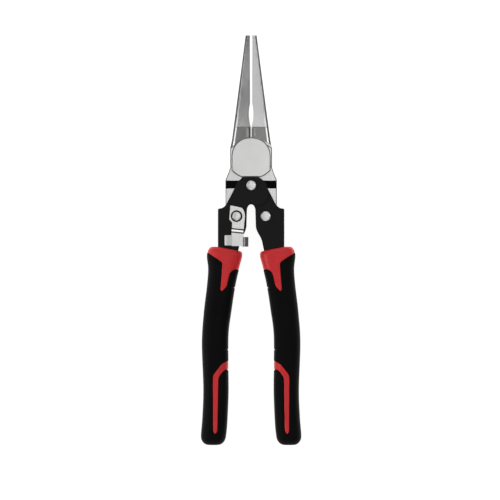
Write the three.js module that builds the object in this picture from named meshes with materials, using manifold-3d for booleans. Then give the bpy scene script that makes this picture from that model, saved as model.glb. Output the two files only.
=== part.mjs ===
// Long-nose pliers with a compound hinge: two crossed jaws on a flush pivot, two stamped channel handles
// on a pivot of their own, and two link pins that join each handle to one jaw's tail.
// The pliers lie flat. +Y points to the jaw tips, +X to the right-hand handle and +Z up, away from the
// surface they lie on. Millimetres. Everything is drawn about the middle plane and lifted at the end.
import * as THREE from 'three';
import { mergeVertices } from 'three/addons/utils/BufferGeometryUtils.js';
import Module from 'manifold-3d';

const wasm = await Module();
wasm.setup();

// ---------- driving dimensions ----------
const TOTAL_LENGTH = 254;
const TIP_Y = TOTAL_LENGTH / 2;
const GRIP_END_Y = -TOTAL_LENGTH / 2;
const LIE_DEPTH = 8;                                   // middle plane above the surface it lies on
const JAW_PIVOT_Y = 51.4;
const HANDLE_PIVOT_Y = 33.8;
const LINK_X = 9;                                      // link pins, to each side of the centre line
const LINK_Y = 14.75;
const JAW_OPEN = 6;                                    // degrees each jaw turns open about its pivot
const JAW_SHUT = 0.5;                                  // degrees each jaw still closes
const GAP = 0.3;                                       // play between a piece and its neighbour
const STACK_GAP = 0.15;                                // play between flat faces stacked along Z

// jaws
const NOSE_TIP_HALF = 3.4;
const NOSE_TIP_Z = 1.9;
const NOSE_STEP_Y = 70;
const NOSE_STEP_Z = 4.7;
const LAP_Z = 3.1;
const BOSS_Z = 5.5;
const BOSS_R = 12.1;
const BOSS_POWER = 0.92;                               // 1 is a circle, less is squarer
const BOSS_SEGMENTS = 36;
const LAP_R = 12.4;
const LAP_HALF_WIDTH = 13;
const LAP_SIDE_HALF_HEIGHT = 5.6;
const TAIL_Z = 2.6;
const TAIL_HALF_SPAN = 15.9;
const TIP_GAP_HALF = 0.7;
const BITE_GAP_HALF = 0.5;                             // half the gap where the round-work bite begins
const SLOT_HALF = 0.25;
const BITE_BULGE = 1.0;                                // how far the bite reaches into each jaw
const BITE_TOP_Y = 85.6;
const TEETH_TOP_Y = 125;
const TOOTH_PITCH = 1.6;
const TOOTH_DEPTH = 0.15;
const FACE_SLOPE = 0.07;                               // fall across a face for each millimetre outwards
const FACET_SLOPE = 0.27;
const CHAMFER_SLOPE = 0.72;
const LAP_TOP_Y = 57;                                  // where the nose meets the straight-sided lap
const BAND_TOP_Y = 36.9;
const BAND_LOW_Y = 31.9;
const BAND_THICK = 0.4;

// handle frames: the left channel is the outer one, the right channel nests inside it
const LEFT_FRAME = { out: 5.9, within: 4.5 };
const RIGHT_FRAME = { out: 4.2, within: 2.9 };
const SPINE_X = 20.6;
const SPINE_THICK = 1.4;
const FRAME_FOLD_R = 1.3;
const FRAME_TOP_Y = 38.6;
const CHANNEL_END_Y = -14;
const TANG_Z = 2.5;
const TANG_END_Y = -105;

// rivets
const RIVET_R = 2;
const RIVET_HOLE_R = 2.08;
const HEAD_R = 3.05;
const HEAD_HEIGHT = 1.15;
const RIGHT_HEAD_R = 3.15;
const RIGHT_REAR_HEAD_HEIGHT = 1.1;
const LATCH_HEAD_R = 2.75;                             // the left link's rivet also carries the latch
const LATCH_HEAD_HEIGHT = 0.9;
const BUSH_R = 3;
const BUSH_HALF_HEIGHT = 2.7;
const SPACER_R = 4;
const SPACER_FROM = 2.75;                              // heights of a spacer's faces off the middle plane
const SPACER_TO = 4.35;

// latch, about its rivet
const LATCH_THICK = 1;
const LATCH_Z = LEFT_FRAME.out + STACK_GAP;
const LATCH_STEP = 1;
const LATCH_WASHER_THICK = 0.4;
const SHANK_LEFT_X = -3.1;
const SHANK_WIDTH = 7.3;
const JOGGLE_TOP_Y = -8.1;                             // the joggle's two bends, where the sheet is creased
const JOGGLE_LOW_Y = -10.1;
const LATCH_WASHER_R = 3.6;

// return spring
const WIRE_R = 0.55;
const COIL_R = 3.7;
const COIL_TURNS = 2.5;
const SPRING_LEG_END_Y = 25;

// grips
const GRIP_HALF_DEPTH = 8.5;
const GRIP_SKIN = 1.7;
const GRIP_TOP_Y = -4;
const GRIP_STATIONS = 15;
const GRIP_RING = 16;
const BUTT_R = 5.2;

// ---------- looks ----------
function look(color, roughness, metalness) {
  return new THREE.MeshStandardMaterial({ color, roughness, metalness });
}

const SATIN_STEEL = () => look(0xc9c9c7, 0.32, 1);
const BRIGHT_STEEL = () => look(0xd9d9d7, 0.25, 1);
const BLACK_PAINT = () => look(0x1b1b1c, 0.45, 0.3);
const SPRING_STEEL = () => look(0x6a6864, 0.35, 1);
const RED_PLASTIC = () => look(0xb02a2c, 0.5, 0);
const BLACK_RUBBER = () => look(0x141315, 0.42, 0);

// ---------- solid helpers ----------
function toSolid(geometry) {
  geometry.deleteAttribute('normal');
  geometry.deleteAttribute('uv');
  const merged = mergeVertices(geometry, 1e-4);
  return new wasm.Manifold(new wasm.Mesh({
    numProp: 3,
    vertProperties: new Float32Array(merged.attributes.position.array),
    triVerts: new Uint32Array(merged.index.array),
  }));
}

function toGeometry(solid) {
  const mesh = solid.getMesh();
  const geometry = new THREE.BufferGeometry();
  geometry.setAttribute('position', new THREE.BufferAttribute(new Float32Array(mesh.vertProperties), 3));
  geometry.setIndex(new THREE.BufferAttribute(new Uint32Array(mesh.triVerts), 1));
  geometry.computeVertexNormals();
  return geometry;
}

function makeMesh(name, solid, material) {
  const mesh = new THREE.Mesh(toGeometry(solid), material);
  mesh.name = name;
  return mesh;
}

// A flat plate of an XY outline between two heights.
function plate(shape, low, high, curveSegments = 10) {
  const depth = high - low;
  const geometry = new THREE.ExtrudeGeometry(shape, { depth, bevelEnabled: false, curveSegments });
  geometry.translate(0, 0, low);
  return toSolid(geometry);
}

function disc(radius, low, high, segments = 24) {
  const geometry = new THREE.CylinderGeometry(radius, radius, high - low, segments);
  geometry.rotateX(Math.PI / 2);
  geometry.translate(0, 0, (low + high) / 2);
  return toSolid(geometry);
}

function block(lowX, highX, lowY, highY, lowZ, highZ) {
  const geometry = new THREE.BoxGeometry(highX - lowX, highY - lowY, highZ - lowZ);
  geometry.translate((lowX + highX) / 2, (lowY + highY) / 2, (lowZ + highZ) / 2);
  return toSolid(geometry);
}

// A solid of revolution about Z from [radius, height] points that start and end on the axis.
function turned(points, segments = 20) {
  const geometry = new THREE.LatheGeometry(points.map(([r, z]) => new THREE.Vector2(r, z)), segments);
  geometry.rotateX(Math.PI / 2);
  return toSolid(geometry);
}

// A closed skin over rings of equal length, with a flat fan at each end.
function loft(rings) {
  const count = rings[0].length;
  const positions = rings.flat().flatMap((point) => point.toArray());
  const index = [];
  for (let ring = 0; ring < rings.length - 1; ring += 1) {
    for (let i = 0; i < count; i += 1) {
      const a = ring * count + i;
      const b = ring * count + ((i + 1) % count);
      index.push(a, b, b + count, a, b + count, a + count);
    }
  }
  for (const [ring, flip] of [[0, true], [rings.length - 1, false]]) {
    const centre = rings[ring].reduce((sum, p) => sum.add(p), new THREE.Vector3()).divideScalar(count);
    const hub = positions.length / 3;
    positions.push(...centre.toArray());
    for (let i = 0; i < count; i += 1) {
      const a = ring * count + i;
      const b = ring * count + ((i + 1) % count);
      index.push(...(flip ? [hub, b, a] : [hub, a, b]));
    }
  }
  const geometry = new THREE.BufferGeometry();
  geometry.setAttribute('position', new THREE.Float32BufferAttribute(positions, 3));
  geometry.setIndex(index);
  return toSolid(geometry);
}

const vectors = (pairs) => pairs.map(([x, y]) => new THREE.Vector2(x, y));
const outline = (pairs) => new THREE.Shape(vectors(pairs));

// Moves every side of a closed anticlockwise outline outwards by a distance.
function offsetOutline(pairs, distance) {
  return pairs.map(([x, y], i) => {
    const [px, py] = pairs[(i + pairs.length - 1) % pairs.length];
    const [nx, ny] = pairs[(i + 1) % pairs.length];
    const before = new THREE.Vector2(y - py, px - x).normalize();
    const after = new THREE.Vector2(ny - y, x - nx).normalize();
    const mean = before.clone().add(after).normalize();
    const reach = distance / Math.max(mean.dot(before), 0.5);
    return [x + mean.x * reach, y + mean.y * reach];
  });
}

const radians = (degrees) => THREE.MathUtils.degToRad(degrees);
const squared = (value, power) => Math.sign(value) * Math.abs(value) ** power;

// Evenly spaced numbers, with both ends.
function steps(from, to, count) {
  return Array.from({ length: count + 1 }, (_, i) => THREE.MathUtils.lerp(from, to, i / count));
}

// Reads x off a curve that runs from high y to low y.
function edgeReader(pairs) {
  const samples = new THREE.SplineCurve(vectors(pairs)).getPoints(160);
  return (y) => {
    const next = samples.findIndex((p) => p.y <= y);
    if (next <= 0) return next === 0 ? samples[0].x : samples.at(-1).x;
    const [a, b] = [samples[next - 1], samples[next]];
    return THREE.MathUtils.mapLinear(y, a.y, b.y, a.x, b.x);
  };
}

// ---------- jaws ----------
// One jaw half: nose on the left, lap half on the front and tail on the right. The other jaw is the same
// forging turned over.

// Half width of the nose at a height along it.
const noseHalfWidth = edgeReader([
  [NOSE_TIP_HALF, TIP_Y],
  [7, 99],
  [10.8, NOSE_STEP_Y],
  [12, 61.5],
  [LAP_HALF_WIDTH, 57],
]);

// Distance from the centre line to the gripping face: a tapering gap, the round-work bite, then a fine slot.
function gripFace(y) {
  if (y >= BITE_TOP_Y) return THREE.MathUtils.mapLinear(y, TIP_Y, BITE_TOP_Y, TIP_GAP_HALF, BITE_GAP_HALF);
  if (y <= NOSE_STEP_Y) return SLOT_HALF;
  const along = (BITE_TOP_Y - y) / (BITE_TOP_Y - NOSE_STEP_Y);
  const straight = THREE.MathUtils.lerp(BITE_GAP_HALF, SLOT_HALF, along);
  return straight + BITE_BULGE * Math.sin(Math.PI * along);
}

// A nose section: a face that slopes gently outwards, a narrow shallow facet, a steeper chamfer and a side.
function noseSection(y, toothDepth = 0) {
  const full = THREE.MathUtils.mapLinear(y, TIP_Y, NOSE_STEP_Y, NOSE_TIP_Z, NOSE_STEP_Z);
  const top = y < NOSE_STEP_Y ? LAP_Z : full;
  const within = -gripFace(y) - toothDepth;
  const outer = -noseHalfWidth(y);
  const facet = THREE.MathUtils.mapLinear(y, TIP_Y, LAP_TOP_Y, 0.4, 1.2);
  const chamfer = THREE.MathUtils.mapLinear(y, TIP_Y, LAP_TOP_Y, 0.7, 1.2);
  const shoulder = top - FACE_SLOPE * (within - outer - facet - chamfer);
  const ridge = shoulder - FACET_SLOPE * facet;
  const edge = ridge - CHAMFER_SLOPE * chamfer;
  const half = [[within, top], [outer + facet + chamfer, shoulder], [outer + chamfer, ridge], [outer, edge]];
  const under = half.map(([x, z]) => [x, -z]).reverse();
  return [...half, ...under].map(([x, z]) => new THREE.Vector3(x, y, z));
}

function nose() {
  const rings = [noseSection(TIP_Y)];
  for (let y = TEETH_TOP_Y; y > BITE_TOP_Y + TOOTH_PITCH; y -= TOOTH_PITCH) {
    rings.push(noseSection(y), noseSection(y - TOOTH_PITCH / 2, TOOTH_DEPTH));
  }
  const biteSteps = 8;
  for (let i = 0; i <= biteSteps; i += 1) {
    rings.push(noseSection(THREE.MathUtils.lerp(BITE_TOP_Y, NOSE_STEP_Y + 0.1, i / biteSteps)));
  }
  rings.push(...[NOSE_STEP_Y - 0.1, 66, 63, 60, 58, LAP_TOP_Y, 55].map((y) => noseSection(y)));
  return loft(rings);
}

const aboutJawPivot = (solid) => solid.translate([0, JAW_PIVOT_Y, 0]);

// Where the lap's straight sides end, and where its round top and foot begin, in degrees about the pivot.
const LAP_CORNER_R = Math.hypot(LAP_HALF_WIDTH, LAP_SIDE_HALF_HEIGHT);
const LAP_CORNER = THREE.MathUtils.radToDeg(Math.atan2(LAP_SIDE_HALF_HEIGHT, LAP_HALF_WIDTH));
const LAP_ROUND = 42;

// The lap half: round above and below, straight at both sides, with a chamfered front edge and a low foot
// that reaches in under the handle frames.
function lapHalf() {
  const shape = new THREE.Shape();
  shape.moveTo(LAP_HALF_WIDTH, -LAP_SIDE_HALF_HEIGHT);
  shape.lineTo(LAP_HALF_WIDTH, LAP_SIDE_HALF_HEIGHT);
  shape.absarc(0, 0, LAP_R, radians(LAP_ROUND), radians(180 - LAP_ROUND), false);
  shape.lineTo(-LAP_HALF_WIDTH, LAP_SIDE_HALF_HEIGHT);
  shape.lineTo(-LAP_HALF_WIDTH, -LAP_SIDE_HALF_HEIGHT);
  shape.absarc(0, 0, LAP_R, radians(180 + LAP_ROUND), radians(360 - LAP_ROUND), false);
  const chamfer = 0.55;
  const chamferHigh = chamfer * CHAMFER_SLOPE;
  const geometry = new THREE.ExtrudeGeometry(shape, {
    depth: LAP_Z,
    bevelThickness: chamferHigh,
    bevelSize: chamfer,
    bevelOffset: -chamfer,
    bevelSegments: 1,
    curveSegments: 16,
  });
  geometry.translate(0, 0, -chamferHigh);
  const foot = plate(outline([
    [-4.6, -10], [-4.6, -13.8], [-3.4, -13.1], [-2, -13], [2, -13], [3.4, -13.1], [4.6, -13.8], [6.4, -13.8],
    [6.4, -10],
  ]), STACK_GAP, TAIL_Z);
  return aboutJawPivot(toSolid(geometry).intersect(block(-20, 20, -20, 20, STACK_GAP, LAP_Z)).add(foot));
}

// The room that the opposite lap half sweeps as the jaws open, from below up to the parting plane.
function sweptLapRoom() {
  const open = 2 * JAW_OPEN;
  const shut = 2 * JAW_SHUT;
  const shape = new THREE.Shape();
  for (const side of [0, 180]) {
    const cornerFrom = radians(side - LAP_CORNER - open);
    const cornerTo = radians(side + LAP_CORNER + shut);
    shape.absarc(0, 0, LAP_CORNER_R + GAP, cornerFrom, cornerTo, false);
    const roundFrom = radians(side + LAP_ROUND + shut);
    const roundTo = radians(side + 180 - LAP_ROUND - open);
    shape.absarc(0, 0, LAP_R + GAP, roundFrom, roundTo, false);
  }
  return aboutJawPivot(plate(shape, -7, 0, 12));
}

// The raised face: a round top, straight sides and a clipped foot.
function boss() {
  const shape = new THREE.Shape();
  shape.moveTo(-6, -12.4);
  shape.lineTo(6, -12.4);
  shape.quadraticCurveTo(9.6, -11.1, BOSS_R, -8.2);
  shape.lineTo(BOSS_R, 0);
  for (const degrees of steps(6, 174, BOSS_SEGMENTS)) {
    shape.lineTo(
      BOSS_R * squared(Math.cos(radians(degrees)), BOSS_POWER),
      BOSS_R * squared(Math.sin(radians(degrees)), BOSS_POWER),
    );
  }
  shape.lineTo(-BOSS_R, 0);
  shape.lineTo(-BOSS_R, -8.2);
  shape.quadraticCurveTo(-9.6, -11.1, -6, -12.4);
  const bevel = 0.6;
  const bevelHigh = bevel * CHAMFER_SLOPE;
  const geometry = new THREE.ExtrudeGeometry(shape, {
    depth: BOSS_Z - LAP_Z - bevelHigh,
    bevelThickness: bevelHigh,
    bevelSize: bevel,
    bevelOffset: -bevel,
    bevelSegments: 1,
    curveSegments: 6,
  });
  geometry.translate(0, 0, LAP_Z);
  const overhang = block(-20, 20, -20, 20, LAP_Z, BOSS_Z);
  return aboutJawPivot(toSolid(geometry).intersect(overhang));
}

const TAIL_INNER_X = 5.3;
const TAIL_LOBE_R = 5.8;

// The tail, a plate with chamfered edges on its front and rear.
function tailPlate() {
  const shape = tailShape();
  const chamfer = 0.5;
  const chamferHigh = chamfer * CHAMFER_SLOPE;
  const geometry = new THREE.ExtrudeGeometry(shape, {
    depth: 2 * (TAIL_Z - chamferHigh),
    bevelThickness: chamferHigh,
    bevelSize: chamfer,
    bevelOffset: -chamfer,
    bevelSegments: 1,
    curveSegments: 10,
  });
  geometry.translate(0, 0, chamferHigh - TAIL_Z);
  return toSolid(geometry);
}

function tailShape() {
  const shape = new THREE.Shape();
  shape.moveTo(LAP_HALF_WIDTH, JAW_PIVOT_Y - 2);
  shape.lineTo(TAIL_INNER_X, JAW_PIVOT_Y - 4);
  shape.lineTo(TAIL_INNER_X, 30);
  shape.lineTo(4.6, 22);
  shape.lineTo(LINK_X - TAIL_LOBE_R, LINK_Y + 1.5);
  shape.absarc(LINK_X, LINK_Y, TAIL_LOBE_R, Math.PI, 2 * Math.PI, false);
  shape.lineTo(TAIL_HALF_SPAN, 22);
  shape.lineTo(TAIL_HALF_SPAN, 37.2);
  shape.lineTo(13.9, 42.1);
  shape.lineTo(LAP_HALF_WIDTH, 44.8);
  return shape;
}

// The groove that seats the black band flush around a tail.
function bandGroove(clearance) {
  const depth = BAND_THICK + clearance;
  const room = block(0, 30, BAND_LOW_Y, BAND_TOP_Y, -10, 10);
  const neck = block(
    TAIL_INNER_X + depth, TAIL_HALF_SPAN - depth,
    BAND_LOW_Y - 1, BAND_TOP_Y + 1, -TAIL_Z + depth, TAIL_Z - depth,
  );
  return room.subtract(neck);
}

// The ground relief of the wire cutter: a ramp that falls towards the slot, steeper over its last part.
function cutterRelief() {
  const width = 3.3;
  const steepWidth = 1.2;
  const steepDepth = 0.76;
  const depth = 1.6;
  const highY = NOSE_STEP_Y - 0.4;
  const lowY = 60;
  const above = LAP_Z + 0.05;
  const beyondSlot = -3;
  const wedge = outline([
    [SLOT_HALF, LAP_Z - depth], [SLOT_HALF + steepWidth, LAP_Z - steepDepth], [SLOT_HALF + width, above],
    [beyondSlot, above], [beyondSlot, LAP_Z - depth],
  ]);
  return sweepAlongY(wedge, lowY, highY, 1).mirror([1, 0, 0]);
}

function jawForging() {
  const relief = cutterRelief();
  const noseAndTail = nose()
    .subtract(relief)
    .subtract(relief.mirror([0, 0, 1]))
    .add(tailPlate())
    .subtract(sweptLapRoom());
  return noseAndTail
    .add(lapHalf())
    .add(boss())
    .subtract(bandGroove(GAP))
    .subtract(disc(RIVET_HOLE_R, -5, 5).translate([LINK_X, LINK_Y, 0]));
}

const JAW_PIN_R = 4;
const JAW_PIN_TOP = 3.6;
const JAW_PIN_LOW = -BOSS_Z + 0.2;

function frontJaw() {
  const seat = aboutJawPivot(disc(JAW_PIN_R + 0.05, -1, JAW_PIN_TOP + STACK_GAP));
  return makeMesh('front_jaw', jawForging().subtract(seat), SATIN_STEEL());
}

function rearJaw() {
  const bore = aboutJawPivot(disc(JAW_PIN_R + GAP, -1, BOSS_Z + 1));
  const solid = jawForging().subtract(bore).rotate([0, 180, 0]);
  return makeMesh('rear_jaw', solid, SATIN_STEEL());
}

function jawPivotPin() {
  const chamfer = 0.4;
  const solid = turned([
    [0, JAW_PIN_LOW], [JAW_PIN_R - chamfer, JAW_PIN_LOW], [JAW_PIN_R, JAW_PIN_LOW + chamfer],
    [JAW_PIN_R, JAW_PIN_TOP], [0, JAW_PIN_TOP],
  ]);
  const mesh = makeMesh('jaw_pivot_pin', solid, BRIGHT_STEEL());
  mesh.position.set(0, JAW_PIVOT_Y, 0);
  return mesh;
}

// A thin black sleeve, flush in its groove.
function tailBand(name, side) {
  const sleeve = tailPlate()
    .intersect(block(0, 30, BAND_LOW_Y + 0.1, BAND_TOP_Y - 0.1, -TAIL_Z, TAIL_Z))
    .intersect(bandGroove(0));
  const solid = side > 0 ? sleeve : sleeve.mirror([1, 0, 0]);
  return makeMesh(name, solid, BLACK_PAINT());
}

// ---------- handle frames ----------
// The right-hand frame's flat pattern; the left one is its mirror image.
function frameShape() {
  const shape = new THREE.Shape();
  shape.moveTo(SPINE_X, CHANNEL_END_Y);
  shape.lineTo(SPINE_X, 18.6);
  shape.quadraticCurveTo(SPINE_X, 19.4, 19.6, 19.5);
  shape.quadraticCurveTo(17, 19.6, 15.2, 22.3);
  shape.lineTo(10.2, 32);
  shape.quadraticCurveTo(9.4, 36, 6.2, 37.7);
  shape.quadraticCurveTo(4, FRAME_TOP_Y, 0, FRAME_TOP_Y);
  shape.quadraticCurveTo(-4, FRAME_TOP_Y, -6.2, 37.7);
  shape.quadraticCurveTo(-9.8, 35.8, -10.3, 31.5);
  shape.quadraticCurveTo(-11.6, 26.4, -8.8, 23.6);
  shape.quadraticCurveTo(-4.6, 20.6, -0.2, 22.2);
  shape.quadraticCurveTo(2, 22.2, 2.6, 19);
  shape.lineTo(2.9, 8.6);
  shape.quadraticCurveTo(3.2, 6, 4.6, 3.8);
  shape.quadraticCurveTo(6.8, 0.4, 7.1, -2.5);
  shape.lineTo(9.6, CHANNEL_END_Y);
  return shape;
}

function tangShape() {
  const shape = new THREE.Shape();
  shape.moveTo(10.4, CHANNEL_END_Y + 2);
  shape.quadraticCurveTo(17, -40, 18, -66);
  shape.lineTo(18.2, TANG_END_Y + 4);
  shape.absarc(22.2, TANG_END_Y + 4, 4, Math.PI, 2 * Math.PI, false);
  shape.lineTo(26, -66);
  shape.quadraticCurveTo(25.2, -40, 20.2, CHANNEL_END_Y + 2);
  return shape;
}

// The folded section: two flanges and the spine that joins them, with a rounded fold.
function channelSection(frame) {
  const shape = new THREE.Shape();
  const far = -30;
  const fold = FRAME_FOLD_R;
  shape.moveTo(far, -frame.out);
  shape.lineTo(SPINE_X - fold, -frame.out);
  shape.absarc(SPINE_X - fold, -frame.out + fold, fold, -Math.PI / 2, 0, false);
  shape.lineTo(SPINE_X, frame.out - fold);
  shape.absarc(SPINE_X - fold, frame.out - fold, fold, 0, Math.PI / 2, false);
  shape.lineTo(far, frame.out);
  shape.lineTo(far, frame.within);
  shape.lineTo(SPINE_X - SPINE_THICK, frame.within);
  shape.lineTo(SPINE_X - SPINE_THICK, -frame.within);
  shape.lineTo(far, -frame.within);
  const depth = 70;
  const geometry = new THREE.ExtrudeGeometry(shape, { depth, bevelEnabled: false, curveSegments: 4 });
  geometry.rotateX(Math.PI / 2);
  geometry.translate(0, CHANNEL_END_Y + depth, 0);
  return toSolid(geometry);
}

function frameSolid(frame) {
  const pattern = plate(frameShape(), -frame.out, frame.out, 8);
  const foot = pattern.intersect(block(-30, 30, CHANNEL_END_Y, CHANNEL_END_Y + 2.5, -frame.out, frame.out));
  const hole = disc(RIVET_HOLE_R, -10, 10);
  return pattern
    .intersect(channelSection(frame))
    .add(foot)
    .add(plate(tangShape(), -TANG_Z, TANG_Z, 8))
    .subtract(hole.translate([LINK_X, LINK_Y, 0]))
    .subtract(hole.translate([0, HANDLE_PIVOT_Y, 0]));
}

function handleFrame(name, frame, side) {
  const solid = side > 0 ? frameSolid(frame) : frameSolid(frame).mirror([1, 0, 0]);
  return makeMesh(name, solid, BLACK_PAINT());
}

// ---------- rivets, bush and spacers ----------
// A rivet with a low domed head at each end; [low, high] are the outer faces that it clamps.
function rivet(name, x, y, low, high, rearHeight, frontHeight, headRadius) {
  const from = low - STACK_GAP;
  const to = high + STACK_GAP;
  const crown = 0.75;
  const solid = turned([
    [0, from - rearHeight], [headRadius * crown, from - rearHeight],
    [headRadius, from - rearHeight * 0.6], [headRadius, from],
    [RIVET_R, from], [RIVET_R, to],
    [headRadius, to], [headRadius, to + frontHeight * 0.45],
    [headRadius * crown, to + frontHeight * 0.88], [headRadius * 0.4, to + frontHeight],
    [0, to + frontHeight],
  ]);
  const mesh = makeMesh(name, solid, BRIGHT_STEEL());
  mesh.position.set(x, y, 0);
  return mesh;
}

// A flat ring round a rivet.
function ring(name, x, y, radius, low, high, material) {
  const solid = disc(radius, low, high).subtract(disc(RIVET_HOLE_R, low - 1, high + 1));
  const mesh = makeMesh(name, solid, material);
  mesh.position.set(x, y, 0);
  return mesh;
}

// ---------- latch ----------
// Drawn about its rivet: a flat eye, a joggled shank, a thumb tab on the left and a hook on the right.
function latchEye() {
  const shape = new THREE.Shape();
  shape.moveTo(-2.9, -8.2);
  shape.lineTo(4.4, -8.6);
  shape.lineTo(5.2, -0.2);
  shape.quadraticCurveTo(4.9, 4.4, 2.9, 5.2);
  shape.lineTo(-3.2, 6.6);
  shape.quadraticCurveTo(-3.9, 6.6, -3.9, 5.8);
  shape.lineTo(-4.5, -2.1);
  shape.lineTo(-2.7, -3.9);
  return plate(shape, LATCH_Z, LATCH_Z + LATCH_THICK, 6);
}

// The side view of the joggle, swept across the shank's width.
function latchShank() {
  const low = LATCH_Z;
  const high = LATCH_Z + LATCH_STEP;
  const side = outline([
    [-7.6, low], [-8.4, low], [-10.5, high], [-18.5, high], [-18.5, high + LATCH_THICK],
    [JOGGLE_LOW_Y, high + LATCH_THICK], [JOGGLE_TOP_Y, low + LATCH_THICK], [-7.6, low + LATCH_THICK],
  ]);
  const geometry = new THREE.ExtrudeGeometry(side, { depth: SHANK_WIDTH, bevelEnabled: false });
  geometry.rotateZ(Math.PI / 2);
  geometry.rotateY(Math.PI / 2);
  geometry.translate(SHANK_LEFT_X, 0, 0);
  return toSolid(geometry);
}

// The end view of the tabs: the thumb tab leaves the shank on the left and ends in a flat lip, and the hook
// bends down in steps on the right.
function latchTabs() {
  const base = LATCH_Z + LATCH_STEP;
  const top = base + LATCH_THICK;
  const hookLow = 2.2;
  const fall = 0.17;
  const hook = outline([
    [3.4, base], [4, base], [4.9, base - 0.45], [5.9, base - 1.4], [6.3, base - 1.9], [6.3, hookLow],
    [7.3, hookLow], [7.3, top - 2.2], [7.1, top - 1.85], [6, top - 1], [5.2, top - 0.4],
    [4.4, top - 0.3], [4, top], [3.4, top],
  ]);
  const thumb = outline([
    [-2.6, base], [-2.6, top], [-3.1, top], [-5.9, top - fall], [-7.1, top - fall], [-7.35, top - 0.3],
    [-7.4, top - 0.5], [-7.3, base + 0.1], [-7, base - 0.1], [-3.1, base],
  ]);
  return sweepAlongY(hook, -18.9, -12.9, 1).add(sweepAlongY(thumb, -18.1, -11.8, 1));
}

// A crease pressed across the shank where the sheet bends, running slightly downhill to the right.
function bendCrease(y, height) {
  const side = 0.6;
  const lift = 0.1;
  const groove = new THREE.BoxGeometry(12, side, side);
  groove.rotateX(Math.PI / 4);
  groove.rotateZ(radians(-6));
  groove.translate(SHANK_LEFT_X + SHANK_WIDTH / 2, y, height + lift);
  return toSolid(groove);
}

function sweepAlongY(shape, lowY, highY, curveSegments) {
  const depth = highY - lowY;
  const geometry = new THREE.ExtrudeGeometry(shape, { depth, bevelEnabled: false, curveSegments });
  geometry.rotateX(Math.PI / 2);
  geometry.translate(0, highY, 0);
  return toSolid(geometry);
}

function latch() {
  const solid = latchEye()
    .add(latchShank())
    .add(latchTabs())
    .subtract(bendCrease(JOGGLE_TOP_Y, LATCH_Z + LATCH_THICK))
    .subtract(bendCrease(JOGGLE_LOW_Y, LATCH_Z + LATCH_THICK + LATCH_STEP))
    .subtract(disc(RIVET_HOLE_R, 0, 20));
  const mesh = makeMesh('latch', solid, BRIGHT_STEEL());
  mesh.position.set(-LINK_X, LINK_Y, 0);
  return mesh;
}

// ---------- return spring ----------
// A torsion spring round the handle pivot; its legs lie along the insides of the two jaw tails.
class SpringWire extends THREE.Curve {
  getPoint(t) {
    const leg = HANDLE_PIVOT_Y - SPRING_LEG_END_Y;
    const coil = COIL_R * 2 * Math.PI * COIL_TURNS;
    const along = t * (coil + 2 * leg) - leg;
    const rise = 2 * WIRE_R + 0.15;
    const bottom = -rise * COIL_TURNS / 2;
    if (along < 0) return new THREE.Vector3(-COIL_R, HANDLE_PIVOT_Y + along, bottom);
    if (along > coil) return new THREE.Vector3(COIL_R, HANDLE_PIVOT_Y - (along - coil), -bottom);
    const angle = Math.PI - (along / coil) * 2 * Math.PI * COIL_TURNS;
    const height = bottom + rise * COIL_TURNS * (along / coil);
    return new THREE.Vector3(
      COIL_R * Math.cos(angle),
      HANDLE_PIVOT_Y + COIL_R * Math.sin(angle),
      height,
    );
  }
}

function returnSpring() {
  const section = new THREE.Shape();
  section.absarc(0, 0, WIRE_R, 0, 2 * Math.PI, false);
  const geometry = new THREE.ExtrudeGeometry(section, {
    steps: 44,
    curveSegments: 4,
    bevelEnabled: false,
    extrudePath: new SpringWire(),
  });
  return makeMesh('return_spring', toSolid(geometry), SPRING_STEEL());
}

// ---------- grips ----------
// The right-hand grip's edges, from the collar down; the left grip is its mirror image.
const gripOuter = edgeReader([
  [26.2, GRIP_TOP_Y], [27.4, -9.6], [26.6, -18], [27.4, -29], [29.3, -45],
  [30.5, -64], [29.6, -92], [30.2, -110], [31.07, -121], [30.9, GRIP_END_Y],
]);
const gripInner = edgeReader([
  [5.6, GRIP_TOP_Y], [5.5, -10], [7.4, -17.3], [9.9, -28.5], [12.2, -43.4],
  [14.1, -58.2], [14.2, -78], [14.1, -95], [14.9, -114], [15.7, -122], [16.2, GRIP_END_Y],
]);

// An oval ring of the grip's skin; butt runs from 0 on the straight grip to 1 at its rounded end.
function gripRing(y, inset, butt) {
  const outer = gripOuter(y) - inset;
  const inner = gripInner(y) + inset;
  const corner = 1 - Math.sqrt(1 - butt * butt);
  const centre = (outer + inner) / 2;
  const half = (outer - inner) / 2 - 4 * corner;
  const depth = GRIP_HALF_DEPTH - inset - 4.6 * corner;
  const power = 0.82;
  const points = [];
  for (let i = 0; i < GRIP_RING; i += 1) {
    const angle = -(i / GRIP_RING) * 2 * Math.PI;
    const c = Math.cos(angle);
    const s = Math.sin(angle);
    points.push(new THREE.Vector3(
      centre + half * Math.sign(c) * Math.abs(c) ** power,
      y,
      depth * Math.sign(s) * Math.abs(s) ** power,
    ));
  }
  return points;
}

function gripBody(inset) {
  const buttY = GRIP_END_Y + inset + BUTT_R;
  const rings = [];
  for (let i = 0; i <= GRIP_STATIONS; i += 1) {
    rings.push(gripRing(THREE.MathUtils.lerp(GRIP_TOP_Y, buttY, i / GRIP_STATIONS), inset, 0));
  }
  for (const angle of [28, 52, 72, 86]) {
    const butt = Math.sin(radians(angle));
    rings.push(gripRing(buttY - BUTT_R * butt, inset, butt));
  }
  return loft(rings.reverse());
}

const gripHull = gripBody(0);

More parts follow.
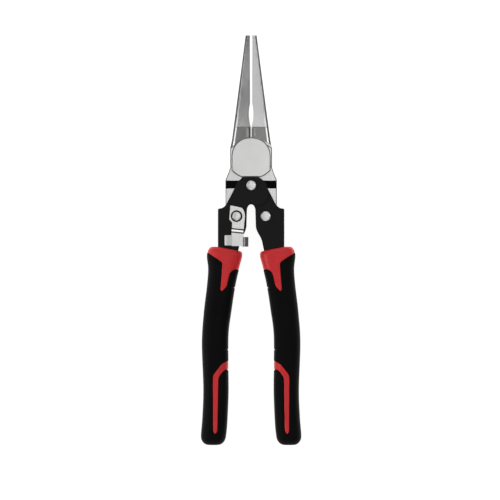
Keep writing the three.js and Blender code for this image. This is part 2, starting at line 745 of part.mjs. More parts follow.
// The collar rises outside the frame and slopes down to the inner corner.
function collarTopCut() {
  const shape = new THREE.Shape();
  shape.moveTo(40, 5);
  shape.lineTo(-5, 5);
  shape.lineTo(-5, -9);
  shape.lineTo(5.2, -8.6);
  shape.quadraticCurveTo(5.6, -7.2, 7.4, -6.8);
  shape.lineTo(20.6, GRIP_TOP_Y - 0.2);
  shape.lineTo(24.6, GRIP_TOP_Y - 0.1);
  shape.quadraticCurveTo(27, -4.6, 27.4, -8);
  shape.lineTo(40, -8);
  return plate(shape, -20, 20);
}

// The red collar with its pointed tongue: everything above this line is red.
const COLLAR_LINE = [
  [4, 0], [4, -18.2], [8, -18.2], [11.4, -18.5], [13.4, -20.6], [15.2, -28.4], [18, -31.4], [19, -31.2],
  [18.2, -14], [27.2, -7.2], [32, -6.4], [32, 0],
];

// The red stripe: it leaves the inner edge, turns down and ends in a blunt point.
function stripeLine() {
  const shape = new THREE.Shape();
  shape.moveTo(11, -80);
  shape.lineTo(15.2, -80);
  shape.quadraticCurveTo(19.8, -81.4, 20.1, -86.4);
  shape.lineTo(20.9, -117.8);
  shape.lineTo(22.3, -119.8);
  shape.lineTo(23.4, -118.2);
  shape.lineTo(23.7, -85.6);
  shape.quadraticCurveTo(22.6, -76.4, 15.2, -75.4);
  shape.lineTo(11, -75.4);
  return shape.getPoints(6).map((p) => [p.x, p.y]);
}

function redRegion(grow) {
  const collar = plate(outline(offsetOutline(COLLAR_LINE, grow)), -20, 20);
  return collar.add(plate(outline(offsetOutline(stripeLine(), grow)), -20, 20));
}

const restSlab = () => block(-5, 45, GRIP_END_Y - 5, 10, -LIE_DEPTH, LIE_DEPTH);

function tangRoom(frame) {
  const foot = block(9, SPINE_X, CHANNEL_END_Y, 5, -frame.out, frame.out);
  const pattern = plate(frameShape(), -frame.out, frame.out, 6).intersect(foot);
  const play = [[GAP, GAP], [-GAP, GAP], [GAP, -GAP], [-GAP, -GAP]];
  const channel = plate(frameShape(), -frame.out - GAP, frame.out + GAP, 6);
  const tang = plate(tangShape(), -TANG_Z - GAP, TANG_Z + GAP, 8);
  let room = pattern;
  for (const [dx, dy] of play) {
    room = room.add(channel.translate([dx, dy, 0])).add(tang.translate([dx, dy, 0]));
  }
  return room;
}

function gripCore(name, frame, side) {
  const solid = gripBody(GRIP_SKIN + GAP)
    .add(gripHull.intersect(redRegion(-GAP)))
    .intersect(restSlab())
    .subtract(collarTopCut())
    .subtract(tangRoom(frame));
  return makeMesh(name, side > 0 ? solid : solid.mirror([1, 0, 0]), RED_PLASTIC());
}

function gripCover(name, side) {
  const solid = gripHull
    .subtract(gripBody(GRIP_SKIN))
    .intersect(restSlab())
    .subtract(redRegion(0));
  return makeMesh(name, side > 0 ? solid : solid.mirror([1, 0, 0]), BLACK_RUBBER());
}

// ---------- the assembly ----------
const left = LEFT_FRAME;
const right = RIGHT_FRAME;
const latchTop = LATCH_Z + LATCH_THICK;
const washerLow = latchTop + STACK_GAP;
const washerTop = washerLow + LATCH_WASHER_THICK;
const toLie = LIE_DEPTH - left.out - STACK_GAP;        // rear head height that reaches the surface

const jaws = new THREE.Group();
jaws.add(
  frontJaw(),
  rearJaw(),
  jawPivotPin(),
  tailBand('right_tail_band', 1),
  tailBand('left_tail_band', -1),
);

const leftHandle = new THREE.Group();
leftHandle.add(
  handleFrame('left_handle_frame', left, -1),
  gripCore('left_grip_core', left, -1),
  gripCover('left_grip_cover', -1),
  rivet('handle_pivot_rivet', 0, HANDLE_PIVOT_Y, -left.out, left.out, toLie, HEAD_HEIGHT, HEAD_R),
  rivet('left_link_rivet', -LINK_X, LINK_Y, -left.out, washerTop, toLie, LATCH_HEAD_HEIGHT, LATCH_HEAD_R),
  ring('handle_pivot_bush', 0, HANDLE_PIVOT_Y, BUSH_R, -BUSH_HALF_HEIGHT, BUSH_HALF_HEIGHT, SPRING_STEEL()),
  ring('left_link_spacer_front', -LINK_X, LINK_Y, SPACER_R, SPACER_FROM, SPACER_TO, SPRING_STEEL()),
  ring('left_link_spacer_rear', -LINK_X, LINK_Y, SPACER_R, -SPACER_TO, -SPACER_FROM, SPRING_STEEL()),
  ring('latch_washer', -LINK_X, LINK_Y, LATCH_WASHER_R, washerLow, washerTop, BLACK_PAINT()),
  returnSpring(),
);

const rightHandle = new THREE.Group();
rightHandle.add(
  handleFrame('right_handle_frame', right, 1),
  gripCore('right_grip_core', right, 1),
  gripCover('right_grip_cover', 1),
  rivet(
    'right_link_rivet', LINK_X, LINK_Y, -right.out, right.out,
    RIGHT_REAR_HEAD_HEIGHT, HEAD_HEIGHT, RIGHT_HEAD_R,
  ),
);

const pliers = new THREE.Group();
pliers.add(jaws, leftHandle, rightHandle, latch());
pliers.position.z = LIE_DEPTH;

export default pliers;
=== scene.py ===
"""Looks for the long-nose compound pliers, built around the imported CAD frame.

Lengths are written in millimetres and turned to metres with MM. The pliers lie flat on the floor:
+Y points to the jaw tips, +X to the right-hand handle and +Z to the camera.
"""

import math

import bpy
import numpy as np
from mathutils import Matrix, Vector


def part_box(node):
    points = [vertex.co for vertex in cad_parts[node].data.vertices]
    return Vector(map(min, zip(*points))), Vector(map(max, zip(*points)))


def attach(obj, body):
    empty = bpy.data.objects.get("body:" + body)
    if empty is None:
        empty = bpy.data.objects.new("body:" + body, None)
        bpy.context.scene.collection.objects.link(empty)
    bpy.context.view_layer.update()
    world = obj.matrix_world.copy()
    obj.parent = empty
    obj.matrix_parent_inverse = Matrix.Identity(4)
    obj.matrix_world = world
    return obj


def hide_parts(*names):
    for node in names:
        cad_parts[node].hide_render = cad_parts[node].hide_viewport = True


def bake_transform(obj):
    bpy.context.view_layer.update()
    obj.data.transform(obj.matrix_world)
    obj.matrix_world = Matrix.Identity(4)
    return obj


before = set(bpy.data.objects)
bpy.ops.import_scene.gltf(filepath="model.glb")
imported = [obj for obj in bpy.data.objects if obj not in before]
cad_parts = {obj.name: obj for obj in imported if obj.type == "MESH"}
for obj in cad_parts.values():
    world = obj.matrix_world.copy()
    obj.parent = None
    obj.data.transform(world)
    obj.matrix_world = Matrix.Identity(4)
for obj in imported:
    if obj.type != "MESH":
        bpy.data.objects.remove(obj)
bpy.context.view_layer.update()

MM = 0.001
MID_Z = 8.0                      # middle plane of the pliers above the floor
SIDES = (("left", -1), ("right", 1))


# ---------- places in the frame ----------
def node_box(node):
    """A CAD node's lowest and highest corners in millimetres, with heights about the middle plane."""
    return [np.round(np.array(corner) / MM, 3) - (0, 0, MID_Z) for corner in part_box(node)]


def plan_middle(node):
    """The middle of a CAD node as seen from the front."""
    low, high = node_box(node)
    return (low[0] + high[0]) / 2, (low[1] + high[1]) / 2


HANDLE_PIVOT = plan_middle("handle_pivot_rivet")
FRAME_HALF_DEPTH = {side: node_box(side + "_handle_frame")[1][2] for side, _ in SIDES}
TANG_END_Y = node_box("left_handle_frame")[0][1]


# ---------- meshes ----------
def make_object(name, points, faces, material, smooth_angle=40.0):
    """A mesh object from points in millimetres about the pliers' middle plane."""
    lifted = np.asarray(points, float) * MM
    lifted[:, 2] += MID_Z * MM
    mesh = bpy.data.meshes.new(name)
    mesh.from_pydata([tuple(p) for p in lifted], [], [tuple(f) for f in faces])
    mesh.validate()
    mesh.shade_smooth()
    mesh.set_sharp_from_angle(angle=math.radians(smooth_angle))
    mesh.materials.append(material)
    made = bpy.data.objects.new(name, mesh)
    bpy.context.scene.collection.objects.link(made)
    return made


def finish_piece(made, body, slot, *nodes):
    """Rides a new piece on its body and lets it stand for its CAD nodes."""
    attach(made, body)
    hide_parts(*nodes)
    return made


def bridge_rings(rings):
    """Points and faces of a closed skin over rings of equal length, capped at both ends."""
    rings = np.asarray(rings, float)
    count, size = rings.shape[:2]
    faces = []
    for ring in range(count - 1):
        for i in range(size):
            a = ring * size + i
            b = ring * size + (i + 1) % size
            faces.append((a, b, b + size, a + size))
    points = rings.reshape(-1, 3).tolist()
    for ring, turn in ((0, True), (count - 1, False)):
        hub = len(points)
        points.append(rings[ring].mean(0).tolist())
        for i in range(size):
            a = ring * size + i
            b = ring * size + (i + 1) % size
            faces.append((hub, b, a) if turn else (hub, a, b))
    return np.array(points), faces


def catmull_rom(pairs):
    """Points on the smooth curve through a list of pairs."""
    steps = 24
    p = np.asarray(pairs, float)
    p = np.vstack([2 * p[0] - p[1], p, 2 * p[-1] - p[-2]])
    t = np.linspace(0, 1, steps, endpoint=False)[:, None]
    curve = []
    for a, b, c, d in zip(p, p[1:], p[2:], p[3:]):
        curve.append(0.5 * (2 * b + (c - a) * t + (2 * a - 5 * b + 4 * c - d) * t**2
                            + (3 * b - a - 3 * c + d) * t**3))
    return np.vstack([*curve, p[-2:-1]])


def reader(curve):
    """Reads x off a curve that runs from high y to low y."""
    rising = np.asarray(curve, float)[::-1]
    return lambda y: np.interp(y, rising[:, 1], rising[:, 0])


def bezier(start, pull, end, steps=12):
    """Points on a quadratic curve, from just after its start to its end."""
    t = np.linspace(0, 1, steps + 1)[1:, None]
    start, pull, end = (np.array(p, float) for p in (start, pull, end))
    return ((1 - t) ** 2 * start + 2 * t * (1 - t) * pull + t**2 * end).tolist()


def smoothstep(value):
    """Eases from 0 to 1 while the value runs from 0 to 1."""
    value = np.clip(value, 0, 1)
    return value * value * (3 - 2 * value)


# ---------- grips ----------
GRIP_END_Y = -127.0
GRIP_DEPTH = 7.88                # half the grip's depth
GRIP_POWER = 0.8                 # below 1, the oval section is a little squarer than an ellipse
BOX_POWER = 0.3                  # section of the room inside, a rectangle with small round corners
BUTT_R = 5.2
BUTT_NARROWING = 4.0             # how much the butt's end draws in from each side
BUTT_THINNING = 4.1              # and from the front and the rear
RING_SIZE = 96                   # points round a section
STRAIGHT = (4.6, 115.4)          # distances below the mouth between which sections are evenly spaced
STATION_STEP = 0.75
COVER_THICK = 1.5
COVER_RAISED = 0.12              # how far the black stands above the red
COVER_GAP = 0.12                 # plan width of the parting line between red and black
COVER_EDGE = (0.48, 0.3)         # reach and drop of the black's rounded edge
CORE_EDGE = (0.5, 0.22)          # the same for the red's edge
CORE_PLAY = 0.12                 # room between the black cover and the red under it
UNDER_COVER = 0.02               # the red is sunk from this far outside its edge
COVER_RISE = (0.1, 0.6)          # the black rises from here outwards, over this distance
PARTING_ROWS = (-0.5, -0.25, 0.0, 0.04, COVER_GAP, 0.3, 0.6)    # distances from the red's edge
DEEP_IN_RED = -6.0               # stands for any point well inside the red region
MOUTH_Y = -6.0                   # about the middle of the sloping mouth
MOUTH_PLAY = 0.35
LIP_HIGH = 3.0                   # the lip is rounded over this height
LIP_IN_SIDE = 2.0                # how much the lip draws in at the outer edge
LIP_IN_FACE = 1.45               # and at the front and the rear
INNER_LIP_SHARE = 0.36           # share of the side's drawing in that the inner edge gets
LEVEL_FROM = 5.0                 # sections turn from the mouth's slope to level from here
LEVEL_OVER = 12.0                # and over this distance
TANG_HALF_DEPTH = 2.5
CHANNEL_END_Y = -14.0
CHANNEL_END_X = 9.6              # the channel's inner edge there
ROOM_STEP_Y = CHANNEL_END_Y - 0.9    # the room inside narrows here, from the channel's to the tang's
ROOM_STEP_LENGTH = 0.1
SPINE_X = 20.6                   # the channel's outer edge
NICKS_Y = (-29.6, -68.1, -80.6)  # small notches in the inner edge
NICK_DEPTH = 0.5
NICK_WIDTH = 0.4

# The right-hand grip's edges, from the collar down; the left grip is its mirror image.
grip_outer = reader(catmull_rom([
    (26.2, -4), (27.4, -9.6), (26.6, -18), (27.4, -29), (29.3, -45),
    (30.5, -64), (29.6, -92), (30.2, -110), (31.07, -121), (30.9, -127),
]))
grip_inner = reader(catmull_rom([
    (5.6, -4), (5.5, -10), (7.4, -17.3), (9.9, -28.5), (12.2, -43.4),
    (14.1, -58.2), (14.2, -78), (14.1, -95), (14.9, -114), (15.7, -122), (16.2, -127),
]))
tang_inner = reader([(10.4, -12), *bezier((10.4, -12), (17, -40), (18, -66)), (18.2, -110)])
tang_outer = reader([(20.2, -12), *bezier((20.2, -12), (25.2, -40), (26, -66)), (26.2, -110)])


def mouth_line(x):
    """The y of the grip's sloping mouth at an x."""
    return np.interp(x, [5.2, 7.4, SPINE_X, 24.6, 28], [-7.5, -6.8, -4.2, -4.1, -4.3])


def frame_inner(y):
    """The x of the channel's inner edge, near and inside the mouth."""
    return np.interp(y, [CHANNEL_END_Y, -2.5], [CHANNEL_END_X, 7.1])


def oval(power):
    """Cosine and sine round a section, squared up by a power below 1."""
    angle = np.linspace(0, 2 * math.pi, RING_SIZE, endpoint=False)
    return [np.sign(wave) * abs(wave) ** power for wave in (np.cos(angle), np.sin(angle))]


def grip_ring(y, corner=0.0, inset_side=0.0, inset_face=0.0):
    """One oval ring of the hull, for one y or one y per point. corner runs to 1 at the butt."""
    y = np.broadcast_to(np.asarray(y, float), RING_SIZE)
    nick = sum(np.exp(-((y - at) / NICK_WIDTH) ** 2) for at in NICKS_Y)
    outer = grip_outer(y) - inset_side
    inner = grip_inner(y) + NICK_DEPTH * nick + INNER_LIP_SHARE * inset_side
    half = (outer - inner) / 2 - BUTT_NARROWING * corner
    depth = GRIP_DEPTH - BUTT_THINNING * corner - inset_face
    across, up = oval(GRIP_POWER)
    return np.stack([(outer + inner) / 2 + half * across, y, depth * up], 1)


def box_ring(y, low_x, high_x, half_z):
    """A ring with small round corners, for the room around the steel inside the grip."""
    across, up = oval(BOX_POWER)
    x = (low_x + high_x) / 2 + (high_x - low_x) / 2 * across
    return np.stack([x, np.broadcast_to(y, RING_SIZE), half_z * up], 1)


def mouth_ring(side, depth):
    """The grip's opening around the steel frame, a depth below its sloping mouth."""
    low = frame_inner(MOUTH_Y - depth) - MOUTH_PLAY
    ring = box_ring(0.0, low, SPINE_X + MOUTH_PLAY, FRAME_HALF_DEPTH[side] + MOUTH_PLAY)
    ring[:, 1] = mouth_line(ring[:, 0]) - depth
    return ring


def lip_ring(below):
    """A hull ring a distance below the mouth, drawn in where the lip is rounded."""
    round_in = 1 - math.sqrt(1 - (1 - min(below / LIP_HIGH, 1)) ** 2)
    level = MOUTH_Y - below
    ring = grip_ring(level)
    for _ in range(3):
        sloped = mouth_line(ring[:, 0]) - below
        y = sloped + (level - sloped) * smoothstep((below - LEVEL_FROM) / LEVEL_OVER)
        ring = grip_ring(y, 0.0, LIP_IN_SIDE * round_in, LIP_IN_FACE * round_in)
    return ring


def grip_stations():
    """Distances below the mouth, closer together at the lip and at each nick."""
    lip = [0, 0.08, 0.25, 0.5, 0.8, 1.2, 1.6, 2.1, 2.6, 3.0, 3.5, 4.0]
    straight = np.arange(*STRAIGHT, STATION_STEP).tolist()
    fine = [MOUTH_Y - at + step for at in NICKS_Y for step in (-0.9, -0.6, -0.3, 0, 0.3, 0.6, 0.9)]
    straight = [s for s in straight if min(abs(s - f) for f in fine) > 0.2]
    return lip + sorted(straight + fine)


def grip_rings(side):
    """The whole closed skin: up the inside of the opening, over the lip, down the hull to the butt."""
    room = TANG_HALF_DEPTH + MOUTH_PLAY
    inside = []
    for y in np.linspace(TANG_END_Y - MOUTH_PLAY, ROOM_STEP_Y - ROOM_STEP_LENGTH, 12):
        inside.append(box_ring(y, tang_inner(y) - MOUTH_PLAY, tang_outer(y) + MOUTH_PLAY, room))
    channel = FRAME_HALF_DEPTH[side] + MOUTH_PLAY
    inside.append(box_ring(ROOM_STEP_Y, CHANNEL_END_X - MOUTH_PLAY, SPINE_X + MOUTH_PLAY, channel))
    inside += [mouth_ring(side, depth) for depth in (4.0, 2.0, 0.6, 0.15, 0.0)]
    hull = [lip_ring(below) for below in grip_stations()]
    butt_y = GRIP_END_Y + BUTT_R
    for degrees in range(8, 90, 7):
        angle = math.radians(degrees)
        hull.append(grip_ring(butt_y - BUTT_R * math.sin(angle), 1 - math.cos(angle)))
    return inside, hull


def polygon_distance(points, corners):
    """Distance in plan from each point to a closed outline, negative inside it."""
    best = np.full(len(points), 1e9)
    inside = np.zeros(len(points), bool)
    for (ax, ay), (bx, by) in zip(corners, np.roll(corners, -1, 0)):
        dx, dy = bx - ax, by - ay
        from_a_x, from_a_y = points[:, 0] - ax, points[:, 1] - ay
        along = np.clip((from_a_x * dx + from_a_y * dy) / (dx * dx + dy * dy), 0, 1)
        best = np.minimum(best, np.hypot(from_a_x - along * dx, from_a_y - along * dy))
        if ay != by:
            crosses = (ay > points[:, 1]) != (by > points[:, 1])
            inside ^= crosses & (points[:, 0] < ax + from_a_y * dx / dy)
    return np.where(inside, -best, best)


def collar_outline():
    """The red collar with its pointed tongue."""
    line = [(2, 4), (2, -18.2), (8.6, -18.2)]
    line += bezier((8.6, -18.2), (11.8, -18.2), (13.2, -20.8), 6)
    line += [(15.0, -28.2), *bezier((15.0, -28.2), (15.6, -29.4), (17.6, -31.3), 5)]
    line += [*bezier((17.9, -31.6), (18.9, -32.0), (18.95, -30.8), 4), (17.8, -15.2)]
    line += bezier((17.8, -15.2), (17.7, -14.0), (18.7, -13.3), 4)
    line += [(27.6, -7.4), (34, -6.6), (34, 4)]
    return np.array(line)


def stripe_outline():
    """The red stripe that leaves the inner edge, turns down the grip and ends in a blunt point."""
    line = [(8, -80.2), (14.4, -80.2), *bezier((14.4, -80.2), (17.0, -80.4), (18.2, -82.4))]
    line += [(19.4, -84.0), *bezier((19.4, -84.0), (20.2, -85.2), (20.3, -87.4))]
    line += [(20.8, -117.4), *bezier((20.8, -117.4), (21.2, -119.6), (22.3, -119.9), 5)]
    line += [*bezier((22.3, -119.9), (23.4, -119.6), (23.5, -117.4), 5), (23.7, -86.4)]
    line += [*bezier((23.7, -86.4), (23.7, -83.8), (22.6, -82.4)), (19.2, -78.2)]
    line += [*bezier((19.2, -78.2), (17.2, -75.7), (14.4, -75.4)), (8, -75.4)]
    return np.array(line)


def split_at(points, field, faces, level):
    """Splits each face that crosses a level of the field, sharing the cut points between faces."""
    points, field = list(points), list(field)
    cuts = {}
    at_end = 0.001                   # a cut within this share of an edge from its end is made at the end

    def cut(a, b):
        key = (min(a, b), max(a, b))
        if key not in cuts:
            low, high = key
            share = (level - field[low]) / (field[high] - field[low])
            if share < at_end or share > 1 - at_end:
                cuts[key] = low if share < at_end else high
            else:
                cuts[key] = len(points)
                points.append(points[low] + share * (points[high] - points[low]))
                field.append(level)
        return cuts[key]

    result = []
    for face in faces:
        above = [field[i] > level for i in face]
        if all(above) or not any(above):
            result.append(face)
            continue
        parts = {True: [], False: []}
        for k, i in enumerate(face):
            j = (k + 1) % len(face)
            parts[above[k]].append(i)
            if above[k] != above[j]:
                crossing = cut(i, face[j])
                parts[True].append(crossing)
                parts[False].append(crossing)
        loops = [tuple(dict.fromkeys(part)) for part in parts.values()]
        result += [loop for loop in loops if len(loop) > 2]
    return points, field, result


def vertex_normals(points, faces):
    """A unit normal for each point, from the faces that meet there."""
    normals = np.zeros_like(points)
    for face in faces:
        corners = points[list(face)]
        across = np.cross(corners[2] - corners[0], corners[-1] - corners[1])
        normals[list(face)] += across
    return normals / np.maximum(np.linalg.norm(normals, axis=1), 1e-12)[:, None]


def grip_skin(side):
    """The split hull: points with normals, plan distance to the red region, and faces.

    The room inside, its hub and the first rings of the lip all belong to the red.
    """
    inside, hull = grip_rings(side)
    points, faces = bridge_rings(inside + hull)
    field = np.minimum(polygon_distance(points, collar_outline()),
                       polygon_distance(points, stripe_outline()))
    red_rings = len(inside) + 3
    inner_hub = -2
    field[:red_rings * RING_SIZE] = DEEP_IN_RED
    field[inner_hub] = DEEP_IN_RED
    rows = np.hstack([points, vertex_normals(points, faces)])
    for level in PARTING_ROWS:
        rows, field, faces = split_at(rows, field, faces, level)
    return np.array(rows), np.array(field), faces


def drop_in(distance, reach, depth):
    """A rounded edge: how far a surface drops a distance before its edge."""
    near = np.clip(1 - distance / reach, 0, 1)
    return depth * (1 - np.sqrt(np.maximum(1 - near**2, 0)))


def used_only(points, faces):
    """Leaves out the points that no face uses."""
    used = sorted({i for face in faces for i in face})
    place = {old: new for new, old in enumerate(used)}
    return points[used], [tuple(place[i] for i in face) for face in faces]


def mirror(points, faces, sign):
    """The same mesh for the right-hand side, and its mirror image for the left."""
    if sign > 0:
        return points, faces
    return points * [-1, 1, 1], [tuple(reversed(face)) for face in faces]


def build_core(rows, field, faces):
    """The red core: at the surface in the red region, sunk below the black cover elsewhere."""
    sunk = np.where(field > UNDER_COVER, COVER_THICK + CORE_PLAY, drop_in(-field, *CORE_EDGE))
    return rows[:, :3] - rows[:, 3:] * sunk[:, None], faces


def build_cover(rows, field, faces):
    """The black cover: a thick skin over the rest, with a soft edge along the parting line."""
    kept = [face for face in faces if np.mean(field[list(face)]) > COVER_GAP]
    rise_from, rise_over = COVER_RISE
    raised = COVER_RAISED * smoothstep((field - rise_from) / rise_over)
    raised -= drop_in(field - COVER_GAP, *COVER_EDGE)
    outer = rows[:, :3] + rows[:, 3:] * raised[:, None]
    inner = rows[:, :3] - rows[:, 3:] * COVER_THICK
    count = len(rows)
    edges = dict.fromkeys(edge for face in kept for edge in zip(face, face[1:] + face[:1]))
    walls = [(b, a, a + count, b + count) for a, b in edges if (b, a) not in edges]
    back = [tuple(i + count for i in reversed(face)) for face in kept]
    return used_only(np.vstack([outer, inner]), kept + back + walls)


def build_grips(red, black):
    """A red core and a black cover on each handle."""
    for side, sign in SIDES:
        body = side + "_handle"
        skin = grip_skin(side)
        core = make_object(side + "_grip_red", *mirror(*build_core(*skin), sign), red)
        finish_piece(core, body, "red_grip", side + "_grip_core")
        cover = make_object(side + "_grip_black", *mirror(*build_cover(*skin), sign), black)
        finish_piece(cover, body, "black_grip", side + "_grip_cover")


# ---------- turned pieces ----------
PLAY = 0.15                      # room between stacked plates
SHANK_R = 2.0
BORE_R = 2.08
RING_EDGE = 0.12                 # chamfer of the rings' edges
DOME_SHARES = (0.85, 0.65, 0.45, 0.25, 0.1, 0.0)


def turned_object(name, profile, material, closed=False):
    """A piece turned about its CAD node's upright axis from (radius, height) pairs.

    A closed profile joins its ends. An open one starts and ends on the axis, with one point there.
    """
    segments = 96
    rings = []
    for k in range(segments):
        angle = 2 * math.pi * k / segments
        rings.append([(r * math.cos(angle), r * math.sin(angle), z) for r, z in profile])
    size = len(profile)
    points = np.array(rings).reshape(-1, 3)
    faces = []
    last = size if closed else size - 1
    for k in range(segments):
        for i in range(last):
            a = k * size + i
            b = k * size + (i + 1) % size
            c = ((k + 1) % segments) * size + (i + 1) % size
            d = ((k + 1) % segments) * size + i
            corners = (d, c, b, a)
            if not closed and profile[i][0] == 0:
                corners = (c, b, 0)
            elif not closed and profile[i + 1][0] == 0:
                corners = (d, size - 1, a)
            faces.append(corners)
    points, faces = used_only(points, faces)
    made = make_object(name + "_turned", points, faces, material, 35.0)
    x, y = plan_middle(name)
    made.location = (x * MM, y * MM, 0)
    return made


def head_profile(radius, base, height, turn):
    """From the plate up to the axis: a short land, a rounded rim and a shallow dome."""
    foot_in, foot_high, land_high = 0.18, 0.16, 0.3
    rim_round, rim_share = 0.5, 0.92
    rim_high = height * rim_share
    profile = [(radius - foot_in, base), (radius, base + turn * foot_high)]
    for degrees in range(0, 91, 10):
        angle = math.radians(degrees)
        profile.append((radius - rim_round + rim_round * math.cos(angle),
                        base + turn * (land_high + (rim_high - land_high) * math.sin(angle))))
    for share in DOME_SHARES:
        dome = (height - rim_high) * (1 - share**2)
        profile.append(((radius - rim_round) * share, base + turn * (rim_high + dome)))
    return profile


def build_rivet(name, body, front, rear, material):
    """front and rear are (head radius, plate face). The heads reach as high as the CAD node's."""
    low, high = node_box(name)
    (front_r, front_face), (rear_r, rear_face) = front, rear
    rear_head = head_profile(rear_r, rear_face, rear_face - low[2], -1)[::-1]
    front_head = head_profile(front_r, front_face, high[2] - front_face, 1)
    profile = [*rear_head, (SHANK_R, rear_face), (SHANK_R, front_face), *front_head]
    made = turned_object(name, profile, material)
    return finish_piece(made, body, "rivet_steel", name)


def build_ring(name, slot, material):
    """A washer, bush or spacer on the left-hand handle, as wide and as high as its CAD node."""
    (low_x, _, low), (high_x, _, high) = node_box(name)
    edge = RING_EDGE
    radius = (high_x - low_x) / 2
    profile = [
        (BORE_R, low + edge), (BORE_R + edge, low), (radius - edge, low), (radius, low + edge),
        (radius, high - edge), (radius - edge, high), (BORE_R + edge, high), (BORE_R, high - edge),
    ]
    made = turned_object(name, profile, material, closed=True)
    return finish_piece(made, "left_handle", slot, name)


def build_jaw_pin(material):
    """The flush pin of the lap joint, with a rounded rim at the rear and a small chamfer at the front."""
    (low_x, _, low), (high_x, _, high) = node_box("jaw_pivot_pin")
    radius = (high_x - low_x) / 2
    rear_rim = [(radius - 0.25, low), (radius - 0.05, low + 0.08), (radius, low + 0.25)]
    front_rim = [(radius, high - 0.1), (radius - 0.1, high)]
    made = turned_object("jaw_pivot_pin", [(0, low), *rear_rim, *front_rim, (0, high)], material)
    return finish_piece(made, "front_jaw", "rivet_steel", "jaw_pivot_pin")


def build_fasteners(rivet_steel, spring_steel, washer_black):
    """Rivets, washer, bush, spacers and pin, each in the place of its CAD node."""
    left_plate = FRAME_HALF_DEPTH["left"] + PLAY
    right_plate = FRAME_HALF_DEPTH["right"] + PLAY
    washer_top = node_box("latch_washer")[1][2]
    rivets = (
        ("handle_pivot_rivet", "left_handle", (3.05, left_plate), (3.05, -left_plate)),
        ("left_link_rivet", "left_handle", (2.72, washer_top + PLAY), (2.85, -left_plate)),
        ("right_link_rivet", "right_handle", (3.15, right_plate), (3.15, -right_plate)),
    )
    for rivet in rivets:
        build_rivet(*rivet, rivet_steel)
    build_ring("latch_washer", "black_washer", washer_black)
    for name in ("handle_pivot_bush", "left_link_spacer_front", "left_link_spacer_rear"):
        build_ring(name, "spring_steel", spring_steel)
    build_jaw_pin(rivet_steel)


# ---------- return spring ----------
WIRE_R = 0.55
WIRE_SIDES = 16
COIL_R = 3.7                     # from the pivot's axis to the wire's middle
COIL_TURNS = 2.5
COIL_GAP = 0.15                  # between turns
SPRING_LEG = 8.8                 # length of each straight leg
TIP_LENGTH = 0.25                # the wire's ends narrow over this length, to this share of the wire
TIP_SHARE = 0.7


def spring_path():
    """A left leg, two and a half coils round the handle pivot and a right leg."""
    steps = 220
    rise = 2 * WIRE_R + COIL_GAP
    coil = COIL_R * 2 * math.pi * COIL_TURNS
    low = -rise * COIL_TURNS / 2
    path = []
    for along in np.linspace(-SPRING_LEG, coil + SPRING_LEG, steps):
        share = np.clip(along / coil, 0, 1)
        angle = math.pi - share * 2 * math.pi * COIL_TURNS
        overrun = min(along, 0) if along < coil else coil - along
        path.append((HANDLE_PIVOT[0] + COIL_R * math.cos(angle),
                     HANDLE_PIVOT[1] + COIL_R * math.sin(angle) + overrun,
                     low + rise * COIL_TURNS * share))
    return np.array(path)


def wire_tip(ring, end, outwards):
    """A smaller ring beyond a wire's end, which rounds it off."""
    tip = end + TIP_LENGTH * outwards
    return [tip + (point - tip) * TIP_SHARE for point in ring]


def build_spring(material):
    """A round wire along the spring's path."""
    path = spring_path()
    along = np.gradient(path, axis=0)
    along /= np.linalg.norm(along, axis=1)[:, None]
    side = np.cross(along, [0, 0, 1.0])
    side /= np.linalg.norm(side, axis=1)[:, None]
    up = np.cross(side, along)
    angles = np.linspace(0, 2 * math.pi, WIRE_SIDES, endpoint=False)
    rings = [[p + WIRE_R * (math.cos(a) * s + math.sin(a) * u) for a in angles]
             for p, s, u in zip(path, side, up)]
    first = wire_tip(rings[0], path[0], -along[0])
    last = wire_tip(rings[-1], path[-1], along[-1])
    rings = [first, *rings, last]
    made = make_object("return_spring_wire", *bridge_rings(rings), material)
    made.data.flip_normals()
    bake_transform(made)
    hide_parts("return_spring")
    return made


# ---------- materials ----------
# Where the jaws get painted shade and a little more roughness, in millimetres: the recessed faces below the
# step, the cutter's relief, the chamfers and the foot between the tails. Depths are taken from the middle
# plane.
FACE_SLOPE = 0.07                # fall of a jaw's face for each millimetre outwards
STEP_Y = (57.5, 69.95)           # the faces below the step
STEP_DEPTH = (3.06, 3.16)        # their depth at the middle line, where the fall starts
RELIEF_X = (0, 3.6)              # the cutter's relief, beside those faces
RELIEF_DEPTH = (1, 3.16)
# share of the full painted shade that the cutter's relief gets
RELIEF_PAINTED_SHADE = 0.85
CHAMFER_UPRIGHT = (0.74, 0.87)   # upright part of the chamfers' normals
# how much painted shade the recessed faces and the chamfers get
JAW_PAINTED_SHADE = 0.62
FOOT_X = (0, 6.4)                # the low end of the lap joint, between the tails
FOOT_DEPTH = (0, 2.7)
FOOT_Y = (36, 39.4)
SHOULDER_X = 3.9                 # the foot's limits run downhill from here outwards
SHOULDER_SLOPE = 0.5

# Where the latch gets painted shade and a little more roughness: its creases, and then boxes of (x limits,
# y limits, how much painted shade).
CREASE_SLOPE = 0.105             # the creases run this much downhill to the right
CREASES_Y = ((5.3, 6.15), (3.3, 4.15))
HOOK_Y = (-4.5, 2.2)
TAB_Y = (-3.8, 3.3)
LATCH_PAINTED_SHADE = (
    ((-5.05, -4.6), HOOK_Y, 0.9),
    ((-4.6, -3.8), HOOK_Y, 0.5),
    ((-3.8, -1.5), HOOK_Y, 0.8),
    ((-14.9, -12.2), TAB_Y, 0.2),
    ((-12.2, -12.0), TAB_Y, 0.4),
)


